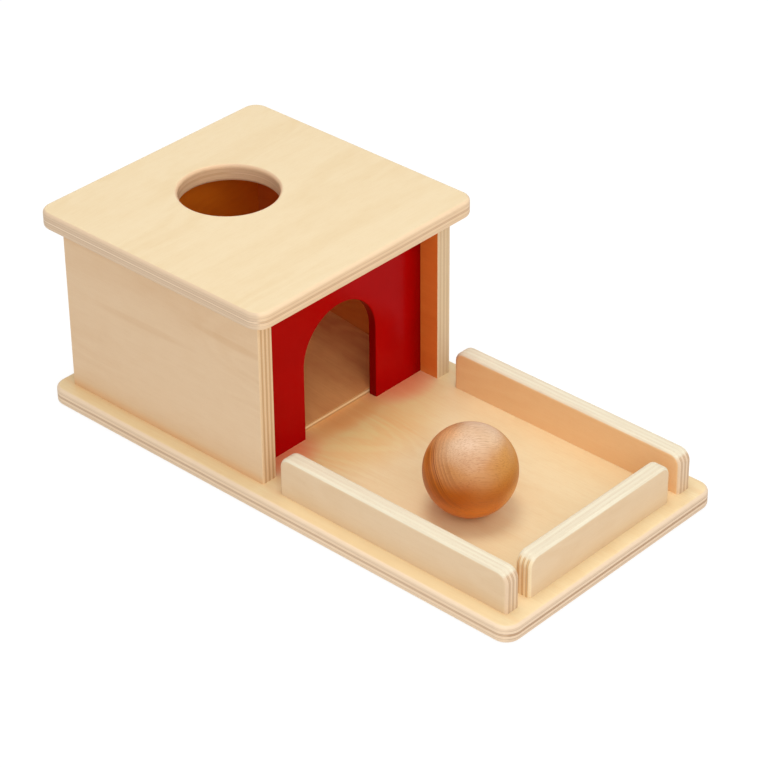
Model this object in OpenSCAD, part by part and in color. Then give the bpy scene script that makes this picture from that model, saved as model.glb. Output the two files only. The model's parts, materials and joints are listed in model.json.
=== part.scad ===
/* [Base] */
// Length of the base plate
base_l = 300; // [260:1:360]
// Width of the base plate
base_w = 150; // [130:1:180]
// Thickness of the base plate
base_t = 9.5; // [8:0.5:14]
// Radius of the base plate's corners, seen from above
base_corner = 8; // [5:0.5:14]
// Radius of the rounding along the base plate's edges
base_ease = 2; // [0.5:0.25:2.25]

/* [Box walls] */
// Length of the side walls, from the back wall's outer face to their front ends
wall_l = 132; // [112:1:150]
// Height of the walls
wall_h = 91; // [80:1:120]
// Thickness of the walls
wall_t = 9; // [8:0.5:12]
// Radius of the light rounding along the side walls' upright edges
wall_ease = 0.5; // [0.2:0.1:1]
// Base plate left bare behind the box and in front of the end rail
end_margin = 8.5; // [6:0.5:14]
// Base plate left bare beside the walls and rails
side_margin = 8.5; // [6:0.5:12]

/* [Lid] */
// Length of lid that stands out past the side walls' front ends
lid_overhang = 9.5; // [6:0.5:14]
// Thickness of the lid
lid_t = 9.5; // [8:0.5:14]
// Radius of the lid's corners, seen from above
lid_corner = 8; // [5:0.5:14]
// Radius of the rounding along the lid's edges and round its hole
lid_ease = 2; // [0.5:0.25:2.25]
// Diameter of the ball hole
hole_d = 50; // [47:0.5:60]
// Centre of the ball hole from the lid's back edge
hole_back = 56; // [46:1:75]

/* [Front panel] */
// Thickness of the front panel
panel_t = 5; // [3:0.5:6]
// Depth of the front panel's face behind the walls' front ends
panel_setback = 11.5; // [8:0.5:16]
// Width of the doorway
door_w = 50; // [47:0.5:60]
// Height of the doorway to the top of its arch
door_h = 65; // [52:1:72]
// Radius of the rounding round the doorway
door_ease = 0.8; // [0.3:0.1:1]
// Depth of the grooves that hold the front panel in the side walls
groove_depth = 3; // [2:0.5:4]

/* [Ramp] */
// Thickness of the ramp board
ramp_t = 3; // [2.5:0.5:5]
// Rise of the ramp from its front lip to the back wall
ramp_rise = 13; // [9:0.5:18]
// Width of the cleat under the ramp's high end
cleat_w = 12; // [8:0.5:18]

/* [Tray rails] */
// Thickness of the rails
rail_t = 9; // [8:0.5:12]
// Height of the rails above the base plate
rail_h = 21.5; // [19:0.5:30]
// Radius of the rails' top corners, seen from the side
rail_corner = 6; // [5:0.5:8]
// Radius of the rounding along the rails' edges
rail_ease = 2; // [0.5:0.25:2.25]
// Gap between the side walls and the long rails
rail_gap = 11; // [6:0.5:20]
// Gap at each end of the end rail
end_rail_gap = 7; // [3:0.5:12]

/* [Ball] */
// Diameter of the ball
ball_d = 45; // [40:0.5:46]

/* [Screws and dowels] */
// Shank diameter of the base screws
screw_d = 3.5; // [3:0.1:4]
// Length of the base screws
screw_l = 25; // [20:1:26]
// Head diameter of the base screws
screw_head_d = 7; // [6:0.1:8]
// Diameter of the dowels
dowel_d = 5; // [4:0.5:6]
// Length of the dowels
dowel_l = 16; // [12:1:18]
// Depth of the dowels in the lid and in the side walls
dowel_seat = 5; // [4:0.5:6]

/* [Hidden] */
$fn = 72;

// Running gap under and before the loose ball
ball_gap = 0.3;
// Gap round a board that slides into its place before it is glued
slip_gap = 0.3;
// Glue gap round a dowel or a screw in its hole
glue_gap = 0.1;
// Every cut runs this far past the face that it starts from
overrun = 1;

// Heights
floor_z = base_t;
lid_z = floor_z + wall_h;

// Places along the length, the origin being under the middle of the base plate
back_x = -base_l / 2 + end_margin;
inner_back_x = back_x + wall_t;
front_x = back_x + wall_l;
panel_front_x = front_x - panel_setback;
panel_back_x = panel_front_x - panel_t;
wall_mid_x = (back_x + front_x) / 2;
lid_l = end_margin + wall_l + lid_overhang;
lid_mid_x = -base_l / 2 + lid_l / 2;
hole_x = -base_l / 2 + hole_back;
rail_start_x = front_x + rail_gap;
rail_end_x = base_l / 2 - end_margin;
end_rail_x = rail_end_x - rail_t;

// Places across the width
outer_y = base_w / 2 - side_margin;
inner_y = outer_y - wall_t;
wall_mid_y = outer_y - wall_t / 2;
rail_mid_y = outer_y - rail_t / 2;
end_rail_l = 2 * (outer_y - rail_t - end_rail_gap);

// The ball lies in the tray, a share of the way along and across it
ball_along_share = 0.637;
ball_across_share = 0.355;
ball_x = panel_front_x + (end_rail_x - panel_front_x) * ball_along_share;
ball_y = -inner_y + 2 * inner_y * ball_across_share;
ball_z = floor_z + ball_gap + ball_d / 2;

// Ramp, with plumb ends between the front panel and the back wall
ramp_front_x = panel_back_x - slip_gap;
ramp_back_x = inner_back_x + slip_gap;
ramp_slope = ramp_rise / (ramp_front_x - ramp_back_x);
ramp_plumb_t = ramp_t * sqrt(1 + ramp_slope * ramp_slope);

// Screws: the head's rim and cone, the point, the driver's cross and the depth below the face
screw_rim = 0.4;
screw_cone = (screw_head_d - screw_d) / 2;
screw_point = screw_d;
screw_sink = 0.5;
cross_w = screw_head_d / 6;
cross_l = screw_head_d * 0.6;
cross_depth = screw_cone;
fixing_inset = 20;

// Places of the screws and dowels
wall_screw_count = 3;
rail_screw_count = 3;
back_fixing_y = inner_y / 2;
wall_screw_x = spread(back_x + fixing_inset, front_x - fixing_inset, wall_screw_count);
rail_screw_x = spread(rail_start_x + fixing_inset, rail_end_x - fixing_inset, rail_screw_count);
end_screw_y = end_rail_l / 2 - fixing_inset;
wall_dowel_x = spread(back_x + 1.5 * fixing_inset, front_x - 1.5 * fixing_inset, 2);
back_dowel_z = spread(floor_z + 1.25 * fixing_inset, lid_z - 1.25 * fixing_inset, 2);
back_mid_x = back_x + wall_t / 2;
end_rail_mid_x = end_rail_x + rail_t / 2;

// Evenly spread places from the first to the last
function spread(first, last, count) =
    [for (i = [0:count - 1]) first + (last - first) * i / (count - 1)];

// Half of a board's section: flat faces and a rounded outer edge
module edge_section(reach, thick, ease) {
    square([reach - ease, thick]);
    translate([0, ease])
        square([reach, thick - 2 * ease]);
    for (z = [ease, thick - ease])
        translate([reach - ease, z])
            circle(r = ease);
}

// A board's whole section, straight edges on both sides
module board_section(half, thick, ease) {
    edge_section(half, thick, ease);
    mirror([1, 0])
        edge_section(half, thick, ease);
}

// Flat board, centred, with rounded corners and rounding along every edge
module eased_board(long, wide, thick, corner, ease) {
    run_x = long / 2 - corner;
    run_y = wide / 2 - corner;
    rotate([90, 0, 90])
        translate([0, 0, -run_x])
            linear_extrude(2 * run_x)
                board_section(wide / 2, thick, ease);
    rotate([90, 0, 0])
        translate([0, 0, -run_y])
            linear_extrude(2 * run_y)
                board_section(long / 2, thick, ease);
    for (x = [-run_x, run_x], y = [-run_y, run_y])
        translate([x, y, 0])
            rotate_extrude()
                edge_section(corner, thick, ease);
}

// Half section of a cut whose rims are rounded over on both faces of the board
module rim_cut_section(reach, thick, ease) {
    difference() {
        translate([0, -overrun])
            square([reach + ease, thick + 2 * overrun]);
        translate([reach, ease])
            square([2 * ease, thick - 2 * ease]);
        for (z = [ease, thick - ease])
            translate([reach + ease, z])
                circle(r = ease);
    }
}

// Upright rail: the upper half of an eased board, standing on its cut side
module rail_board(long) {
    difference() {
        translate([0, rail_t / 2, 0])
            rotate([90, 0, 0])
                eased_board(long, 2 * rail_h, rail_t, rail_corner, rail_ease);
        translate([-long, -rail_t, -2 * rail_h])
            cube([2 * long, 2 * rail_t, 2 * rail_h]);
    }
}

// Countersunk wood screw, head down, standing on its head at the origin
module screw() {
    difference() {
        rotate_extrude()
            polygon([
                [0, 0],
                [screw_head_d / 2, 0],
                [screw_head_d / 2, screw_rim],
                [screw_d / 2, screw_rim + screw_cone],
                [screw_d / 2, screw_l - screw_point],
                [0, screw_l]
            ]);
        for (a = [0, 90])
            rotate([0, 0, a])
                translate([-cross_l / 2, -cross_w / 2, -overrun])
                    cube([cross_l, cross_w, cross_depth + overrun]);
    }
}

// Countersunk hole through the base plate for one screw
module screw_hole() {
    head_r = screw_head_d / 2 + glue_gap;
    shank_r = screw_d / 2 + glue_gap;
    cone_z = screw_sink + screw_rim;
    rotate_extrude()
        polygon([
            [0, -overrun],
            [head_r, -overrun],
            [head_r, cone_z],
            [shank_r, cone_z + screw_cone],
            [shank_r, base_t + overrun],
            [0, base_t + overrun]
        ]);
}

// Pilot hole in the wall or rail above the base plate
module pilot_hole() {
    translate([0, 0, floor_z - overrun])
        cylinder(d = screw_d + 2 * glue_gap, h = screw_sink + screw_l - floor_z + glue_gap + overrun);
}

// Puts its child at every screw of one side wall
module at_wall_screws(side) {
    for (x = wall_screw_x)
        translate([x, side * wall_mid_y, 0])
            children();
}

// Puts its child at every screw of the back wall
module at_back_screws() {
    for (y = [-back_fixing_y, back_fixing_y])
        translate([back_mid_x, y, 0])
            children();
}

// Puts its child at every screw of one long rail
module at_rail_screws(side) {
    for (x = rail_screw_x)
        translate([x, side * rail_mid_y, 0])
            children();
}

// Puts its child at every screw of the end rail
module at_end_screws() {
    for (y = [-end_screw_y, end_screw_y])
        translate([end_rail_mid_x, y, 0])
            children();
}

// Puts its child at every screw of the object
module at_all_screws() {
    for (side = [-1, 1]) {
        at_wall_screws(side)
            children();
        at_rail_screws(side)
            children();
    }
    at_back_screws()
        children();
    at_end_screws()
        children();
}

// Upright dowel or its hole between a wall's top and the lid
module lid_dowel(gap) {
    translate([0, 0, lid_z + dowel_seat - dowel_l - gap])
        cylinder(d = dowel_d + 2 * gap, h = dowel_l + 2 * gap);
}

// Dowels or holes between one side wall and the lid
module side_lid_dowels(side, gap) {
    for (x = wall_dowel_x)
        translate([x, side * wall_mid_y, 0])
            lid_dowel(gap);
}

// Dowels or holes between the back wall and the lid
module back_lid_dowels(gap) {
    for (y = [-back_fixing_y, back_fixing_y])
        translate([back_mid_x, y, 0])
            lid_dowel(gap);
}

// Level dowels or holes between the back wall's end and one side wall
module corner_dowels(side, gap) {
    for (z = back_dowel_z)
        translate([back_mid_x, side * (inner_y + dowel_seat + gap), z])
            rotate([side * 90, 0, 0])
                cylinder(d = dowel_d + 2 * gap, h = dowel_l + 2 * gap);
}

// Long plywood board that carries everything, drilled from below
module base_plate() {
    color("wheat")
        difference() {
            eased_board(base_l, base_w, base_t, base_corner, base_ease);
            at_all_screws()
                screw_hole();
        }
}

// Side wall of the box, grooved inside for the front panel
module side_wall(side) {
    low_y = side > 0 ? inner_y : -outer_y;
    groove_y = side > 0 ? inner_y - overrun : -inner_y - groove_depth;
    difference() {
        translate([wall_mid_x, low_y, floor_z])
            linear_extrude(wall_h)
                board_section(wall_l / 2, wall_t, wall_ease);
        translate([panel_back_x - glue_gap, groove_y, floor_z - overrun])
            cube([panel_t + 2 * glue_gap, groove_depth + overrun, wall_h + 2 * overrun]);
        at_wall_screws(side)
            pilot_hole();
        side_lid_dowels(side, glue_gap);
        corner_dowels(side, glue_gap);
    }
}

// Side wall on the near side
module near_wall() {
    color("burlywood")
        side_wall(-1);
}

// Side wall on the far side
module far_wall() {
    color("burlywood")
        side_wall(1);
}

// Wall that closes the back of the box between the side walls
module back_wall() {
    color("burlywood")
        difference() {
            translate([back_x, -inner_y, floor_z])
                cube([wall_t, 2 * inner_y, wall_h]);
            at_back_screws()
                pilot_hole();
            back_lid_dowels(glue_gap);
            for (side = [-1, 1])
                corner_dowels(side, glue_gap);
        }
}

// Thin painted panel with the doorway, its sides held in the walls' grooves
module front_panel() {
    half_w = inner_y + groove_depth - slip_gap;
    spring_z = floor_z + door_h - door_w / 2;
    color("firebrick")
        difference() {
            translate([panel_back_x, -half_w, floor_z])
                cube([panel_t, 2 * half_w, wall_h]);
            translate([panel_back_x, 0, spring_z])
                rotate([0, 90, 0])
                    rotate_extrude()
                        rim_cut_section(door_w / 2, panel_t, door_ease);
            for (turn = [0, 180])
                translate([panel_back_x + panel_t / 2, 0, floor_z - overrun])
                    rotate([0, 0, 90 + turn])
                        translate([0, -panel_t / 2, 0])
                            linear_extrude(spring_z - floor_z + overrun)
                                rim_cut_section(door_w / 2, panel_t, door_ease);
        }
}

// Square plywood board on top of the box, with the round ball hole
module lid() {
    color("wheat")
        difference() {
            translate([lid_mid_x, 0, lid_z])
                eased_board(lid_l, base_w, lid_t, lid_corner, lid_ease);
            translate([hole_x, 0, lid_z])
                rotate_extrude()
                    rim_cut_section(hole_d / 2, lid_t, lid_ease);
            for (side = [-1, 1])
                side_lid_dowels(side, glue_gap);
            back_lid_dowels(glue_gap);
        }
}

// Sloping board that sends the ball out through the doorway
module ramp() {
    half_w = inner_y - slip_gap;
    color("tan")
        translate([0, half_w, floor_z])
            rotate([90, 0, 0])
                linear_extrude(2 * half_w)
                    polygon([
                        [ramp_front_x, 0],
                        [ramp_front_x, ramp_plumb_t],
                        [ramp_back_x, ramp_rise + ramp_plumb_t],
                        [ramp_back_x, ramp_rise]
                    ]);
}

// Strip glued to the base and the back wall, planed to the ramp's slope
module ramp_cleat() {
    half_w = inner_y - slip_gap;
    color("tan")
        translate([0, half_w, floor_z])
            rotate([90, 0, 0])
                linear_extrude(2 * half_w)
                    polygon([
                        [ramp_back_x, 0],
                        [ramp_back_x + cleat_w, 0],
                        [ramp_back_x + cleat_w, ramp_rise - cleat_w * ramp_slope],
                        [ramp_back_x, ramp_rise]
                    ]);
}

// Long rail on one side of the tray
module long_rail(side) {
    color("wheat")
        difference() {
            translate([(rail_start_x + rail_end_x) / 2, side * rail_mid_y, floor_z])
                rail_board(rail_end_x - rail_start_x);
            at_rail_screws(side)
                pilot_hole();
        }
}

// Rail along the near side of the tray
module near_rail() {
    long_rail(-1);
}

// Rail along the far side of the tray
module far_rail() {
    long_rail(1);
}

// Shorter rail across the end of the tray
module end_rail() {
    color("wheat")
        difference() {
            translate([end_rail_mid_x, 0, floor_z])
                rotate([0, 0, 90])
                    rail_board(end_rail_l);
            at_end_screws()
                pilot_hole();
        }
}

// Turned wooden ball, loose in the tray
module ball() {
    color("peru")
        translate([ball_x, ball_y, ball_z])
            sphere(d = ball_d);
}

// Screws through the base plate into the walls and rails
module base_screws() {
    color("silver")
        at_all_screws()
            translate([0, 0, screw_sink])
                screw();
}

// Blind dowels between the walls and the lid
module lid_dowels() {
    color("burlywood") {
        for (side = [-1, 1])
            side_lid_dowels(side, 0);
        back_lid_dowels(0);
    }
}

// Blind dowels between the back wall and the side walls
module back_dowels() {
    color("burlywood")
        for (side = [-1, 1])
            corner_dowels(side, 0);
}

base_plate();
near_wall();
far_wall();
back_wall();
front_panel();
lid();
ramp();
ramp_cleat();
near_rail();
far_rail();
end_rail();
ball();
base_screws();
lid_dowels();
back_dowels();
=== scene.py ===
import json
import math

import bmesh
import bpy
from mathutils import Matrix, Vector


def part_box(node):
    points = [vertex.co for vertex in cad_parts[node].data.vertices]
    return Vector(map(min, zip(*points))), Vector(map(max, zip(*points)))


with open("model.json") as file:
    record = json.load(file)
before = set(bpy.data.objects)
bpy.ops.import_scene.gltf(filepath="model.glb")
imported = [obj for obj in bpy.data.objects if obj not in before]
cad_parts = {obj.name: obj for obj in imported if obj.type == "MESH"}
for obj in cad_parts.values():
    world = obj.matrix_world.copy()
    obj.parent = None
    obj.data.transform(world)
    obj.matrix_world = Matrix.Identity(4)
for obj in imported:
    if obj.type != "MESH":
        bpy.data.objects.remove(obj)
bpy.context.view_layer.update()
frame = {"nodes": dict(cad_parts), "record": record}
nodes = frame["nodes"]


# Base plate: one long board of birch plywood that carries the box and the tray.
# Its corners are cut round and every edge is rounded over, so the cut shows the plies.
# It is sanded, varnished clear and satin, and screwed to the walls and rails from below.

mm_per_metre = 1000.0


def feed(socket, value):
    """Links a value that is worked out along the surface, or sets a plain one."""
    if isinstance(value, Field):
        value.tree.links.new(value.socket, socket)
    else:
        socket.default_value = value


class Field:
    """A number, place or colour that a finish works out at every point of its surface."""

    def __init__(self, tree, socket):
        self.tree = tree
        self.socket = socket

    def step(self, operation, *others):
        """The field taken through one sum, by a Math node, with the other numbers it needs."""
        node = self.tree.nodes.new("ShaderNodeMath")
        node.operation = operation
        for slot, value in zip(node.inputs, (self, *others)):
            feed(slot, value)
        return Field(self.tree, node.outputs[0])

    def __add__(self, other):
        return self.step("ADD", other)

    def __sub__(self, other):
        return self.step("SUBTRACT", other)

    def __rsub__(self, other):
        return self.step("MULTIPLY", -1.0).step("ADD", other)

    def __mul__(self, other):
        return self.step("MULTIPLY", other)

    def __truediv__(self, other):
        return self.step("DIVIDE", other)

    __radd__ = __add__
    __rmul__ = __mul__


def split(place):
    """The three numbers of a place."""
    node = place.tree.nodes.new("ShaderNodeSeparateXYZ")
    feed(node.inputs[0], place)
    return [Field(place.tree, output) for output in node.outputs]


def join(tree, *parts):
    """A place made of three numbers."""
    node = tree.nodes.new("ShaderNodeCombineXYZ")
    for socket, part in zip(node.inputs, parts):
        feed(socket, part)
    return Field(tree, node.outputs[0])


def in_order(parts, order):
    """The X, Y and Z parts put in the order of the axes that are named."""
    return [parts["XYZ".index(axis)] for axis in order]


def moved(place, scale=(1, 1, 1), turn=(0, 0, 0), shift=(0, 0, 0)):
    """The place scaled, then turned by degrees, then shifted."""
    node = place.tree.nodes.new("ShaderNodeMapping")
    feed(node.inputs["Vector"], place)
    node.inputs["Scale"].default_value = scale
    node.inputs["Rotation"].default_value = [math.radians(angle) for angle in turn]
    node.inputs["Location"].default_value = shift
    return Field(place.tree, node.outputs[0])


def noise(place, per_mm, detail=2.0, rough=0.5, shift=(0, 0, 0)):
    """Soft noise about 0.5, with its own number of patches to the millimetre each way."""
    node = place.tree.nodes.new("ShaderNodeTexNoise")
    feed(node.inputs["Vector"], moved(place, per_mm, shift=shift))
    node.inputs["Scale"].default_value = 1.0
    node.inputs["Detail"].default_value = detail
    node.inputs["Roughness"].default_value = rough
    return Field(place.tree, node.outputs["Fac"])


def fade(value, start, end, low=0.0, high=1.0):
    """Goes smoothly from low to high as the value goes from start to end."""
    node = value.tree.nodes.new("ShaderNodeMapRange")
    node.interpolation_type = "SMOOTHSTEP"
    numbers = {"Value": value, "From Min": start, "From Max": end, "To Min": low, "To Max": high}
    for name, number in numbers.items():
        feed(node.inputs[name], number)
    return Field(value.tree, node.outputs["Result"])


def blend(share, first, second):
    """First colour where the share is 0, second where it is 1."""
    tree = next(value.tree for value in (share, first, second) if isinstance(value, Field))
    node = tree.nodes.new("ShaderNodeMix")
    node.data_type = "RGBA"
    share_and_colour_inputs = (0, 6, 7)
    colour_output = 2
    for index, value in zip(share_and_colour_inputs, (share, first, second)):
        feed(node.inputs[index], value)
    return Field(tree, node.outputs[colour_output])


def oval(off_along, off_across, long, wide):
    """0 in the middle of an oval and 1 on its rim, from how far off the middle a point is."""
    far = off_along / long
    off = off_across / wide
    return far * far + off * off


def paint(red, green, blue):
    """A colour as it is seen on a screen, from 0 to 255, made linear by the screen's curve."""
    seen = [value / 255 for value in (red, green, blue)]
    linear = [value / 12.92 if value <= 0.04045 else ((value + 0.055) / 1.055) ** 2.4 for value in seen]
    return (*linear, 1.0)


def new_finish(name):
    """A new material with its shader, and the place on the piece in millimetres."""
    finish = bpy.data.materials.new(name)
    finish.use_nodes = True
    tree = finish.node_tree
    seat = tree.nodes.new("ShaderNodeTexCoord")
    place = moved(Field(tree, seat.outputs["Object"]), (mm_per_metre,) * 3)
    return finish, tree.nodes["Principled BSDF"], place


def facing_on(tree):
    """The way that the surface of the piece faces."""
    seat = tree.nodes.new("ShaderNodeTexCoord")
    return Field(tree, seat.outputs["Normal"])


def dress(shader, colour, roughness, gloss, height_mm):
    """Gives a shader its colour, its roughness, its gloss and a relief in millimetres."""
    feed(shader.inputs["Base Color"], colour)
    feed(shader.inputs["Roughness"], roughness)
    shader.inputs["Specular IOR Level"].default_value = gloss
    relief = colour.tree.nodes.new("ShaderNodeBump")
    relief.inputs["Distance"].default_value = 1.0 / mm_per_metre
    feed(relief.inputs["Height"], height_mm)
    feed(shader.inputs["Normal"], Field(colour.tree, relief.outputs["Normal"]))


def finish_node(node, finish):
    """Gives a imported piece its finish, in every slot of its mesh."""
    mesh = nodes[node].data
    mesh.materials.clear()
    mesh.materials.append(finish)


class Plywood:
    """The finish of a plywood board, worked out all through it, so that every cut shows plies.

    order names the axes along the face grain, across it and through the board. Places on
    the board are in millimetres from its low corner. A board that slopes gives that corner
    and its thickness itself, in metres, and the degrees about Y that turn it level.
    """

    # How far apart in the noise of the wood two plies and the two veneers are taken
    ply_apart = 17.3
    leaf_apart = 40.0

    def __init__(self, node, order, seed, corner=None, thick=None, tilt=0.0):
        low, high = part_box(node)
        axis = "XYZ".index(order[2])
        if corner is None:
            corner = low
            thick = high[axis] - low[axis]
        self.node = node
        self.seed = seed
        self.thick = mm_per_metre * thick
        self.finish, self.shader, place = new_finish(node + "_plywood")
        self.tree = place.tree
        level = moved(place, turn=(0, tilt, 0))
        level = moved(level, shift=[-mm_per_metre * value for value in corner])
        slant = moved(facing_on(self.tree), turn=(0, tilt, 0))
        self.along, self.across, self.through = in_order(split(level), order)
        self.face_along, self.face_across, self.face_through = in_order(split(slant), order)

    def lay_plies(self, ends, sides, plies=7, odd_share=0.6, glue_shares=(0.1, 0.35)):
        """The plies: odd ones with their fibres along the board, and thinner ones across them.

        ends and sides are the colours of the odd and even plies where the cut runs across
        and along the face grain, because a ply looks darker where its fibres end in the cut.
        An odd ply takes odd_share of a pair. glue_shares say how dark the glue lines are in
        a cut along the face grain and in one across it.
        """
        # Which ply a point lies in, how far into it, and how near to a glue line
        outer_skin = 0.3
        sway_mm = 0.5
        pair = self.thick / ((plies - 1) / 2 + odd_share)
        sway = noise(join(self.tree, self.along, self.across, self.seed), (0.018, 0.018, 1.0)) - 0.5
        depth = (self.through + sway * sway_mm).step("MAXIMUM", outer_skin)
        steps = depth.step("MINIMUM", self.thick - outer_skin) / pair
        part = steps.step("FRACT")
        blur_share = 0.02
        even = fade(part, odd_share - blur_share, odd_share + blur_share)
        ply = steps.step("FLOOR") * 2.0 + part.step("GREATER_THAN", odd_share)
        joint = (part - odd_share).step("ABSOLUTE").step("MINIMUM", part).step("MINIMUM", 1.0 - part)
        glue_edge = 0.14
        glue_core = 0.03
        self.glue = fade(joint * pair, glue_edge, glue_core)

        # Every ply has grain of its own, and a tone a little apart from the next one's
        inside = join(self.tree, self.along, self.across, self.through + ply * self.ply_apart)
        long_fibres = noise(inside, (0.05, 1.6, 1.6), detail=3.0, rough=0.6)
        cross_fibres = noise(inside, (1.6, 0.05, 1.6), detail=3.0, rough=0.6)
        self.fibres = long_fibres * (1.0 - even) + cross_fibres * even
        ply_place = join(self.tree, self.along, self.across, ply * self.ply_apart + self.seed)
        ply_tone = noise(ply_place, (0.012, 0.012, 1.0), detail=3.0)

        on_end = fade(self.face_along.step("ABSOLUTE") - self.face_across.step("ABSOLUTE"), -0.25, 0.25)
        self.odd_ply = blend(on_end, sides[0], ends[0])
        even_ply = blend(on_end, sides[1], ends[1])
        cut = blend(even, self.odd_ply, even_ply)
        cut = blend(fade(ply_tone, 0.35, 0.7, 0.0, 0.1), cut, paint(196, 150, 106))
        cut = blend(fade(self.fibres, 0.4, 0.75, 0.0, 0.15), cut, paint(190, 142, 98))
        self.cut = blend(self.glue * fade(on_end, 0.0, 1.0, *glue_shares), cut, paint(132, 88, 56))

    def ease_edges(self, deep):
        """The rounded edges, sanded pale as deep as the rounding goes from both faces."""
        soft = 0.5
        from_face = self.through.step("MINIMUM", self.thick - self.through)
        self.cut = blend(fade(from_face, deep + soft, deep - soft, 0.0, 0.75), self.cut, self.odd_ply)

    def contours(self, leaf, hills, peak):
        """The contour lines of the figure: in scattered patches, or nested up to a peak."""
        if peak is None:
            lines_per_hill = 90.0
            lines = (hills * lines_per_hill).step("SINE")
            patches = noise(leaf, (0.01, 0.02, 1.0), detail=1.0, shift=(31, 7, 3))
            where = fade(patches, 0.48, 0.62, 0.0, 0.6)
        else:
            arm_wide = 15.0
            arm_long = 30.0
            patch_long = 42.0
            patch_wide = 34.0
            patch_back = 20.0
            sway = 5.0
            lines_apart = -9.0
            peak_along, peak_across = peak
            arm = (self.across - peak_across) / arm_wide
            reach = (self.along - peak_along) / arm_long
            lines = ((arm * arm + reach + (hills - 0.5) * sway) * lines_apart).step("SINE")
            off_along = self.along - peak_along + patch_back
            rim = oval(off_along, self.across - peak_across, patch_long, patch_wide)
            where = fade(rim, 1.2, 0.2, 0.0, 0.5) * self.side
        return fade(lines, -0.9, 0.4) * where

    def lay_veneers(self, low_face, high_face, figure=1.0, marks=(), peak=None):
        """The face veneers: long soft bands, contour figure, fine streaks and small pores.

        low_face and high_face are each a pale and a dark colour, and figure says how far
        the wood goes from one to the other. marks are mineral streaks, each with its place,
        length and width. peak is where the figure of the high face comes to a point.
        """
        self.side = self.face_through.step("GREATER_THAN", 0.0)
        leaf = join(self.tree, self.along, self.across, self.side * self.leaf_apart + self.seed)
        bands = fade(noise(leaf, (0.006, 0.05, 1.0), detail=3.0, rough=0.45), 0.42, 0.75)
        hills = noise(leaf, (0.008, 0.026, 1.0), detail=1.5, rough=0.4)
        self.streaks = noise(leaf, (0.03, 1.1, 1.0), detail=3.0, rough=0.6)
        self.mottle = noise(leaf, (0.1, 0.22, 1.0), detail=4.0, rough=0.6)
        broad = 0.5 * figure
        fine = 0.25 * figure
        share = bands * broad + self.contours(leaf, hills, peak) * broad
        share = share + fade(self.streaks, 0.35, 0.75, 0.0, fine)
        share = share + fade(self.mottle, 0.35, 0.75, 0.0, fine)
        mark_sway = 14.0
        bent = self.across + (hills - 0.5) * mark_sway
        for mark_along, mark_across, long, wide in marks:
            rim = oval(self.along - mark_along, bent - mark_across, long, wide)
            share = share + fade(rim, 1.0, 0.0, 0.0, 0.5)
        self.share = share

        pale = blend(self.side, low_face[0], high_face[0])
        dark = blend(self.side, low_face[1], high_face[1])
        face = blend(share, pale, dark)
        pores = fade(noise(leaf, (0.4, 5.0, 1.0), detail=1.0), 0.62, 0.8, 0.0, 0.22)
        self.face = blend(pores, face, blend(0.5, dark, paint(160, 108, 66)))

    def paint_foot_shade(self, across, reach, strength):
        """A warm line along the board, as far across it as given: painted warm shade where the board
        meets another.
        """
        line = fade((self.across - across).step("ABSOLUTE"), reach, 0.0, 0.0, strength)
        self.face = blend(line, self.face, paint(232, 160, 78))

    def painted_light_patch(self, middle, reach, strength, tones):
        """A soft oval patch on the high face, in a pale and a dark tone of its own, for painted light and
        shade on the tray.
        """
        along, across = middle
        rim = oval(self.along - along, self.across - across, *reach)
        patch = fade(rim, 1.0, 0.0, 0.0, strength) * self.side
        self.face = blend(patch, self.face, blend(self.share, *tones))

    def varnish(self):
        """Satin varnish, duller on the cut edges, with the grain just to be felt."""
        flat = fade(self.face_through.step("ABSOLUTE"), 0.84, 0.98)
        edge = 1.0 - flat
        colour = blend(flat, self.cut, self.face)
        roughness = fade(self.mottle, 0.3, 0.7, 0.38, 0.46) * flat + edge * 0.52
        relief = self.streaks * flat * 0.012 + (self.fibres * 0.05 - self.glue * 0.03) * edge
        dress(self.shader, colour, roughness, 0.32, relief)
        finish_node(self.node, self.finish)


pale_veneer = (paint(243, 217, 168), paint(233, 196, 140))
golden_veneer = (paint(245, 223, 178), paint(236, 204, 152))
base_ends = (paint(240, 214, 183), paint(196, 160, 126))
base_sides = (paint(245, 219, 187), paint(216, 184, 150))
edge_deep = 2.6
tray_peak = (172.0, 64.0)
base_plate = Plywood("base_plate", "XYZ", seed=3.0)
base_plate.lay_plies(base_ends, base_sides, glue_shares=(0.4, 0.75))
base_plate.ease_edges(edge_deep)
base_plate.lay_veneers(pale_veneer, golden_veneer, peak=tray_peak)

# Painted warm shade along the outer foot of both walls and of the long rails
base_low, base_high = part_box("base_plate")
wall_low, wall_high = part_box("near_wall")
base_wide = mm_per_metre * (base_high.y - base_low.y)
wall_foot = mm_per_metre * (wall_low.y - base_low.y)
for foot in (wall_foot, base_wide - wall_foot):
    base_plate.paint_foot_shade(foot, reach=3.0, strength=0.15)

# Painted light and shade on the tray: a golden patch before the box, mostly painted warm light reflected
# by the wood around it; painted orange shade in the doorway; the red panel's reflection painted on both
# sides of it; and painted shade that makes the margins outside the rails a little darker. Each patch has
# its middle, how far it reaches along and across, its strength and its tones.
panel_low, panel_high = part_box("front_panel")
panel_front = mm_per_metre * (panel_high.x - base_low.x)
middle = base_wide / 2
painted_golden_bounce = (paint(255, 226, 156), paint(255, 202, 130))
painted_doorway_shade = (paint(255, 180, 108), paint(247, 160, 90))
painted_panel_reflection = (paint(252, 158, 114), paint(244, 140, 96))
painted_margin_shade = (paint(237, 211, 165), paint(229, 199, 149))
red_along = panel_front - 3.0
red_off = 42.0
margin_along = 225.0
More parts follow.
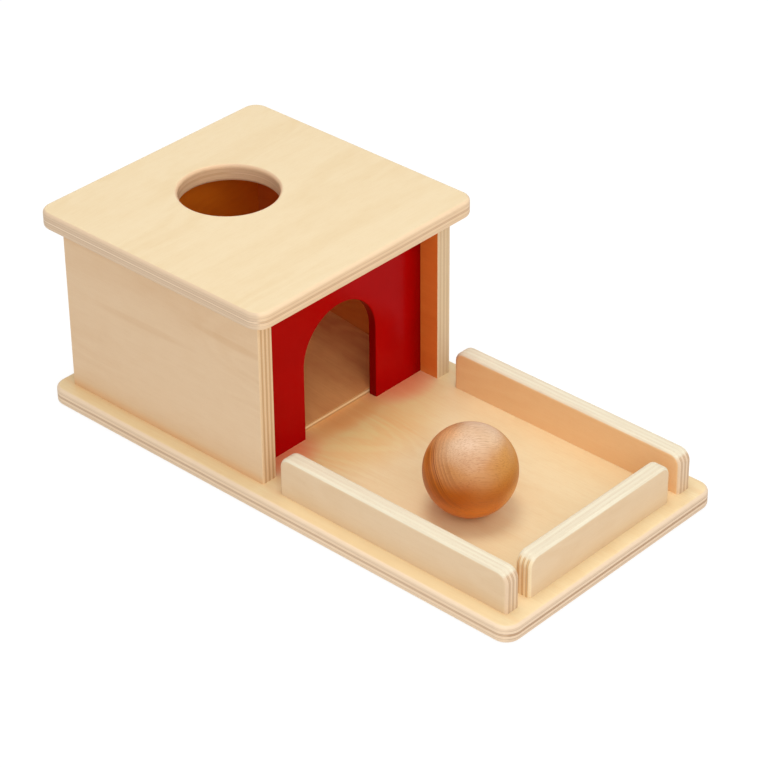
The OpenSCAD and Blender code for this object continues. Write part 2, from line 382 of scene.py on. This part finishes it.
# Painted warm reflected light before the box, painted shade in the doorway, and the panel's painted red
# reflection
base_plate.painted_light_patch((panel_front, middle), (50.0, 74.0), 0.9, painted_golden_bounce)
base_plate.painted_light_patch((panel_front, middle), (13.0, 32.0), 0.75, painted_doorway_shade)
base_plate.painted_light_patch((red_along, middle - red_off), (22.0, 27.0), 0.9, painted_panel_reflection)
base_plate.painted_light_patch((red_along, middle + red_off), (22.0, 27.0), 0.85, painted_panel_reflection)
# Painted shade on the margins outside the rails
for margin_across in (0.0, base_wide):
    base_plate.painted_light_patch((margin_along, margin_across), (100.0, 12.0), 0.9, painted_margin_shade)
base_plate.varnish()


# Side walls and back wall: three plywood boards glued and dowelled into a box without a front. Their
# outer faces are pinkish sapwood veneer; their inner faces are a deep warm orange that is painted shade
# for the inside of the box, and painted warm shade runs along their foot.

pink_veneer = (paint(234, 202, 163), paint(224, 186, 143))
# The inner faces' deep orange is painted shade for the inside of the box; the back wall's is deeper still
painted_shade_veneer = (paint(230, 130, 54), paint(212, 100, 32))
painted_deep_shade_veneer = (paint(238, 136, 30), paint(218, 110, 18))
wall_ends = (paint(238, 206, 163), paint(214, 174, 129))
far_wall_ends = (paint(234, 210, 172), paint(225, 197, 156))
wall_sides = (paint(244, 214, 174), paint(222, 184, 138))

# Mineral streaks, each with its place along and up the wall, its length and its width
near_marks = ((54.0, 55.0, 40.0, 3.2), (112.0, 71.0, 34.0, 2.8), (16.0, 84.0, 30.0, 3.2))
far_marks = ((88.0, 32.0, 42.0, 3.2), (40.0, 70.0, 32.0, 2.6))

# Each wall's name, axes, seed, ply ends, low and high face, figure and streaks
walls = (
    ("near_wall", "XZY", 11.0, wall_ends, pink_veneer, painted_shade_veneer, 0.6, near_marks),
    ("far_wall", "XZY", 23.0, far_wall_ends, painted_shade_veneer, pink_veneer, 0.6, far_marks),
    ("back_wall", "YZX", 37.0, wall_ends, pink_veneer, painted_deep_shade_veneer, 0.8, ()),
)
for node, order, seed, ends, low_face, high_face, figure, marks in walls:
    wall = Plywood(node, order, seed)
    wall.lay_plies(ends, wall_sides)
    wall.lay_veneers(low_face, high_face, figure, marks)
    # Painted warm shade along the foot of the wall, on both its faces
    wall.paint_foot_shade(0.0, reach=6.0, strength=0.3)
    wall.varnish()


# Front panel: thin board with the round-topped doorway, lacquered red all over.
# It slides into grooves in the side walls, back from their front ends.


def red_lacquer():
    """Sprayed red lacquer: an even film over faint grain, with a light orange peel, and painted shade on
    the doorway's edge and towards the walls.
    """
    finish, shader, place = new_finish("red_lacquer")
    cloud = noise(place, (0.03, 0.03, 0.03), detail=3.0)
    grain = noise(place, (0.05, 2.0, 0.06))
    peel = noise(place, (0.7, 0.7, 0.7))
    red = blend(fade(cloud, 0.3, 0.7), paint(182, 1, 3), paint(172, 1, 2))
    red = blend(fade(grain, 0.5, 0.8, 0.0, 0.2), red, paint(150, 1, 2))

    # Painted shade: darker on the doorway's edge, which lies in the shade of the recess, and darker
    # towards the walls, where the panel's corners lie in shade
    edge = fade(split(facing_on(place.tree))[0].step("ABSOLUTE"), 0.9, 0.4)
    red = blend(edge * 0.8, red, paint(122, 1, 1))
    even_half = 46.0
    corner_shade_half = 60.0
    from_middle = split(place)[1].step("ABSOLUTE")
    red = blend(fade(from_middle, even_half, corner_shade_half, 0.0, 0.65), red, paint(104, 1, 1))
    dress(shader, red, fade(cloud, 0.3, 0.7, 0.18, 0.24), 0.034, peel * 0.01 + grain * 0.008)
    return finish


finish_node("front_panel", red_lacquer())


# Lid: square plywood board on top of the box, with the ball hole cut and rounded over
# on both sides. Blind dowels and glue hold it on the walls.


def warm_bore(board, along, across, radius):
    """Makes the wall of a round hole a little warmer than the board's outer edges."""
    soft = 2.0
    off_along = board.along - along
    off_across = board.across - across
    off = (off_along * off_along + off_across * off_across).step("SQRT")
    board.cut = blend(fade(off, radius + soft, radius, 0.0, 0.5), board.cut, paint(224, 176, 128))


lid_veneer = (paint(238, 216, 176), paint(230, 203, 157))
lid_ends = (paint(226, 198, 166), paint(242, 216, 185))
lid_sides = (paint(244, 214, 176), paint(226, 191, 152))
lid_low, lid_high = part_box("lid")
ball_hole = next(mount for mount in frame["record"]["mounts"] if mount["name"] == "ball_hole")
hole_along = mm_per_metre * (ball_hole["pos_m"][1] - lid_low.y)
hole_across = mm_per_metre * (ball_hole["pos_m"][0] - lid_low.x)
lid = Plywood("lid", "YXZ", seed=51.0)
lid.lay_plies(lid_ends, lid_sides, glue_shares=(0.3, 0.5))
lid.ease_edges(edge_deep)
warm_bore(lid, hole_along, hole_across, ball_hole["dims"]["r_mm"])
lid.lay_veneers(pale_veneer, lid_veneer, figure=0.8)
lid.varnish()


# Ramp and its cleat: thin three-ply board that slopes from the back wall to the doorway,
# over a strip that is planed to the same slope and glued to the base.

ramp_low, ramp_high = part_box("ramp")
ramp_thick = 0.003
ramp_angle = math.atan2(ramp_high.z - ramp_low.z - ramp_thick, ramp_high.x - ramp_low.x)
ramp_level = ramp_high.x * math.sin(ramp_angle) + ramp_low.z * math.cos(ramp_angle)
ramp_corner = Vector((ramp_low.x, ramp_low.y, ramp_level))
# The ramp's deep orange veneer is partly painted warm shade, for the dark inside of the box
ramp_shaded_veneer = (paint(244, 176, 110), paint(222, 142, 84))
ramp_cut = (paint(216, 167, 110), paint(255, 230, 180))
ramp = Plywood("ramp", "XYZ", 67.0, ramp_corner, ramp_thick, tilt=-math.degrees(ramp_angle))
ramp.lay_plies(ramp_cut, ramp_cut, plies=3, odd_share=0.4)
ramp.lay_veneers(ramp_shaded_veneer, ramp_shaded_veneer, figure=1.1)
ramp.varnish()

cleat = Plywood("ramp_cleat", "YXZ", seed=71.0)
cleat.lay_plies(ramp_cut, ramp_cut, plies=3)
cleat.lay_veneers(ramp_shaded_veneer, ramp_shaded_veneer)
cleat.varnish()


# Tray rails: two long plywood rails and a shorter one across the end, rounded over
# along the top and at both ends, glued and screwed to the base.

rail_veneer = (paint(233, 205, 168), paint(223, 189, 146))
# The rails' inner faces are more orange: painted warm shade and light reflected from the tray between
# them
rail_inner_shade_veneer = (paint(248, 206, 154), paint(240, 188, 132))
rail_ends = (paint(236, 208, 175), paint(216, 184, 149))
# The end rail's ends are paler and more golden: painted warm light reflected into the gaps beside them
end_rail_bounce_ends = (paint(250, 230, 190), paint(228, 194, 144))
# The rails' pale cut tops are pale plies with a painted highlight
rail_tops_with_highlight = (paint(242, 232, 205), paint(239, 227, 199))

# Each rail's name, axes, seed, ply ends, and low and high face
rails = (
    ("near_rail", "XZY", 83.0, rail_ends, rail_veneer, rail_inner_shade_veneer),
    ("far_rail", "XZY", 97.0, rail_ends, rail_inner_shade_veneer, rail_veneer),
    ("end_rail", "YZX", 101.0, end_rail_bounce_ends, rail_veneer, rail_veneer),
)
for node, order, seed, ends, low_face, high_face in rails:
    rail = Plywood(node, order, seed)
    rail.lay_plies(ends, rail_tops_with_highlight, glue_shares=(0.03, 0.5))
    rail.lay_veneers(low_face, high_face, figure=0.6)
    rail.varnish()


# Ball: turned from one block of hardwood, sanded and varnished. The growth layers come up
# as nested arcs where its fibres end, and stay hidden where they lie along the surface.


def place_in_block(centred):
    """The place in the block: along its fibres, across them and up through its layers."""
    fibre_way = Vector((-0.530, -0.819, 0.189)).normalized()
    layer_way = Vector((0.598, -0.215, 0.772)).normalized()
    layer_way = (layer_way - fibre_way * layer_way.dot(fibre_way)).normalized()
    third_way = layer_way.cross(fibre_way)
    turn = Matrix((fibre_way, third_way, layer_way)).to_euler()
    return moved(centred, turn=[math.degrees(angle) for angle in turn])


def layer_noise(height, shift=(0, 0, 0)):
    """Noise that changes only from one growth layer to the next."""
    return noise(join(height.tree, height, 0.0, 0.0), (0.35, 1.0, 1.0), detail=1.0, shift=shift)


def late_wood(height, rise, end_grain, across_share, level):
    """How strongly the dark late wood shows: a line in each layer, and one broad dark ring.

    It is strongest in the upper layers, where the fibres end in the surface.
    """
    layer_mm = 1.5
    dark_ring_mm = 8.6
    uneven_mm = 3.0
    uneven = (layer_noise(height, shift=(5, 0, 0)) - 0.5) * uneven_mm
    layers = ((height + uneven) / layer_mm).step("FRACT")
    late = fade(layers, 0.1, 0.85) * fade(layers, 1.0, 0.92)
    dark_ring = fade((height - dark_ring_mm).step("ABSOLUTE"), 1.4, 0.6, 0.5, 1.3)
    strength = dark_ring * fade(rise, 0.1, 0.3, 0.4, 1.0) * fade(rise, 0.82, 0.6)
    late = late * strength * end_grain * fade(across_share, 0.75, 0.35, 0.3, 1.0)
    return late * fade(level, 0.8, 0.5, 0.4, 1.0)


def turned_wood():
    """Turned hardwood: tones of the block, growth layers, fibres and pores all through, with a painted
    highlight and painted reflected light among the tones.
    """
    finish, shader, place = new_finish("ball_wood")
    low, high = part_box("ball")
    radius = mm_per_metre * (high.x - low.x) / 2
    middle = [mm_per_metre * (first + second) / 2 for first, second in zip(low, high)]
    centred = moved(place, shift=[-value for value in middle])
    lined = place_in_block(centred)
    along, across, height = split(lined)
    bow_per_mm = 0.007
    sway_mm = 2.0
    sway = noise(lined, (0.02, 0.05, 0.05)) - 0.5
    height = height + across * across * bow_per_mm + sway * sway_mm

    # Where a point lies, in shares of the radius: in the block, plumb up, and towards the painted
    # highlight
    along_share = along / radius
    across_share = across / radius
    rise = height / radius
    highlight_way = Vector((0.330, -0.450, 0.830))
    ball_x, ball_y, ball_z = split(centred)
    level = ball_z / radius
    toward = (ball_x * highlight_way.x + ball_y * highlight_way.y + ball_z * highlight_way.z) / radius

    # The block's tones, each laid over the one before it, some of them painted highlight and painted
    # light reflected from the tray
    end_grain = fade(along_share, 0.0, 0.5)
    heart = fade(layer_noise(height), 0.4, 0.6)
    # A paler side of the wood that is partly painted highlight, and a painted highlight where the
    # overhead light is reflected
    pale_side_and_highlight = fade(across_share, 0.3, -0.35) * fade(rise, 0.5, 0.85, 0.4, 1.0)
    painted_highlight = fade(toward, 0.85, 0.98, 0.0, 0.3)
    golden_side = fade(along_share, 0.05, -0.5, 0.0, 0.9) * fade(level, 0.9, 0.65)
    # The orange of the low layers grows towards the foot, partly painted light reflected from the tray
    orange_layers = fade(rise, 0.65, 0.15, 0.0, 0.9) * fade(level, 0.85, 0.5, 0.5, 1.0)
    brown_belt = fade(across_share, 0.4, 0.8) * end_grain * 0.7
    # Painted amber light reflected from the tray on the lower part, and lighter painted bounce at the
    # foot and the lower edge
    painted_amber_bounce = fade(level, 0.5, -0.1, 0.0, 0.7) * fade(along_share, -0.9, -0.5, 0.4, 1.0)
    dark_heart = heart * fade(rise, 0.42, 0.32, 0.0, 0.5)
    painted_foot_bounce = fade(level, -0.15, -0.5, 0.0, 0.7)
    painted_low_edge_bounce = fade(along_share, -0.35, -0.75, 0.0, 0.6) * fade(level, 0.05, -0.2)
    # Painted light: the upper left edge made lighter
    painted_upper_edge_light = fade(across_share, -0.3, -0.6, 0.0, 0.5) * fade(along_share, 0.3, 0.6)
    tones = (
        (pale_side_and_highlight, paint(228, 190, 152)),
        (painted_highlight, paint(222, 190, 162)),
        (golden_side, paint(208, 144, 62)),
        (orange_layers, paint(216, 118, 4)),
        (brown_belt, paint(166, 74, 0)),
        (painted_amber_bounce, paint(188, 94, 2)),
        (dark_heart, paint(142, 74, 24)),
        (painted_foot_bounce, paint(228, 134, 30)),
        (painted_low_edge_bounce, paint(240, 172, 84)),
        (painted_upper_edge_light, paint(250, 184, 124)),
    )
    cloud = noise(lined, (0.03, 0.06, 0.06), detail=3.0)
    wood = blend(fade(cloud, 0.3, 0.7), paint(206, 146, 88), paint(194, 130, 70))
    for share, tone in tones:
        wood = blend(share, wood, tone)

    late = late_wood(height, rise, end_grain, across_share, level)
    fibres = noise(lined, (0.14, 2.2, 2.2), detail=3.0, rough=0.6)
    pores = fade(noise(lined, (0.3, 2.4, 2.4), detail=1.0), 0.56, 0.74)
    wood = blend(late * 0.75, wood, paint(124, 58, 12))
    wood = blend(fade(fibres, 0.4, 0.75, 0.0, 0.4), wood, paint(168, 94, 34))
    wood = blend(pores * 0.3, wood, paint(138, 76, 30))
    relief = fibres * 0.02 - pores * 0.025 - late * 0.01
    dress(shader, wood, fade(fibres, 0.3, 0.7, 0.34, 0.42), 0.34, relief)
    return finish


finish_node("ball", turned_wood())


# Screws and dowels: zinc-plated countersunk wood screws under the base, and beech dowels
# that sit blind in the walls and the lid.


def zinc_plate():
    """Zinc-plated steel, with fine drawn marks and dull patches."""
    finish, shader, place = new_finish("zinc_plate")
    marks = noise(place, (1.2, 9.0, 9.0), detail=3.0)
    cloud = noise(place, (0.5, 0.5, 0.5), detail=3.0)
    metal = blend(fade(cloud, 0.3, 0.7), paint(206, 204, 196), paint(190, 186, 170))
    shader.inputs["Metallic"].default_value = 1.0
    dress(shader, metal, fade(marks, 0.3, 0.7, 0.25, 0.42), 0.5, marks * 0.01)
    return finish


def beech(name, order):
    """Bare beech, with its short dark flecks along the grain, which is the first axis named."""
    finish, shader, place = new_finish(name)
    lined = join(place.tree, *in_order(split(place), order))
    flecks = fade(noise(lined, (0.6, 4.0, 4.0), detail=1.0), 0.58, 0.72)
    cloud = noise(lined, (0.05, 0.4, 0.4), detail=3.0)
    wood = blend(fade(cloud, 0.3, 0.7), paint(222, 184, 142), paint(208, 164, 120))
    wood = blend(flecks * 0.5, wood, paint(160, 106, 66))
    dress(shader, wood, fade(cloud, 0.3, 0.7, 0.6, 0.72), 0.4, flecks * 0.01)
    return finish


finish_node("base_screws", zinc_plate())
finish_node("lid_dowels", beech("upright_beech", "ZXY"))
finish_node("back_dowels", beech("level_beech", "YXZ"))


# Studio: a white sweep just under the toy, an overhead and a front softbox, and a white room.
# The camera stands where the toy's straight edges, as they are seen, say that it stood.

floor_wide = 6.0
floor_drop = 0.0002
floor_mesh = bpy.data.meshes.new("studio_floor")
shape = bmesh.new()
bmesh.ops.create_grid(shape, x_segments=1, y_segments=1, size=floor_wide / 2)
bmesh.ops.translate(shape, verts=shape.verts, vec=(0, 0, -floor_drop))
shape.to_mesh(floor_mesh)
shape.free()
floor = bpy.data.objects.new("studio_floor", floor_mesh)
bpy.context.scene.collection.objects.link(floor)


def seen_directly(tree):
    """1 where a ray comes from the camera or by way of gloss or glass, 0 elsewhere."""
    rays = tree.nodes.new("ShaderNodeLightPath")
    kinds = [Field(tree, rays.outputs[f"Is {kind} Ray"]) for kind in ("Camera", "Glossy", "Transmission")]
    return kinds[0].step("MAXIMUM", kinds[1]).step("MAXIMUM", kinds[2])


sweep, sweep_shader, sweep_place = new_finish("white_sweep")
sweep_tree = sweep_place.tree
sweep_shader.inputs["Base Color"].default_value = (0.86, 0.86, 0.86, 1.0)
sweep_shader.inputs["Roughness"].default_value = 0.9
glow = sweep_tree.nodes.new("ShaderNodeEmission")
glow.inputs["Strength"].default_value = 1.1
soft_white = sweep_tree.nodes.new("ShaderNodeMixShader")
glow_share = 0.8
feed(soft_white.inputs["Fac"], seen_directly(sweep_tree) * glow_share)
sweep_tree.links.new(sweep_shader.outputs[0], soft_white.inputs[1])
sweep_tree.links.new(glow.outputs[0], soft_white.inputs[2])
sweep_tree.links.new(soft_white.outputs[0], sweep_tree.nodes["Material Output"].inputs["Surface"])
floor_mesh.materials.append(sweep)

world = bpy.data.worlds.new("white_room")
bpy.context.scene.world = world
world.use_nodes = True
room = world.node_tree.nodes["Background"]
room.inputs["Color"].default_value = (1.0, 1.0, 1.0, 1.0)
room_light = 0.6
room_seen = 1.0
feed(room.inputs["Strength"], fade(seen_directly(world.node_tree), 0.0, 1.0, room_light, room_seen))


def softbox(name, place, aim, width, depth, power):
    """A large soft light at a place, turned to aim at a point."""
    light = bpy.data.lights.new(name, "AREA")
    light.shape = "RECTANGLE"
    light.size = width
    light.size_y = depth
    light.energy = power
    lamp = bpy.data.objects.new(name, light)
    bpy.context.scene.collection.objects.link(lamp)
    lamp.location = place
    lamp.rotation_euler = (Vector(aim) - Vector(place)).to_track_quat("-Z", "Y").to_euler()


softbox("overhead_light", place=(0.0, -0.02, 1.1), aim=(0, 0, 0), width=0.45, depth=0.4, power=3.8)
softbox("front_light", place=(0.85, -0.55, 0.65), aim=(0, 0, 0.03), width=1.0, depth=0.8, power=4.4)

azimuth = 42.796
elevation = 32.983
roll = -0.514
camera_data = bpy.data.cameras.new("camera")
camera_data.lens = 136.38
camera_data.sensor_width = 36.0
camera = bpy.data.objects.new("camera", camera_data)
bpy.context.scene.collection.objects.link(camera)
stand = Matrix.Rotation(math.radians(azimuth), 3, "Z")
stand = stand @ Matrix.Rotation(math.radians(90 - elevation), 3, "X")
stand = stand @ Matrix.Rotation(math.radians(roll), 3, "Z")
camera.location = (0.79915, -0.85521, 0.79782)
camera.rotation_euler = stand.to_euler()
bpy.context.scene.camera = camera
bpy.context.scene.view_settings.view_transform = "Standard"
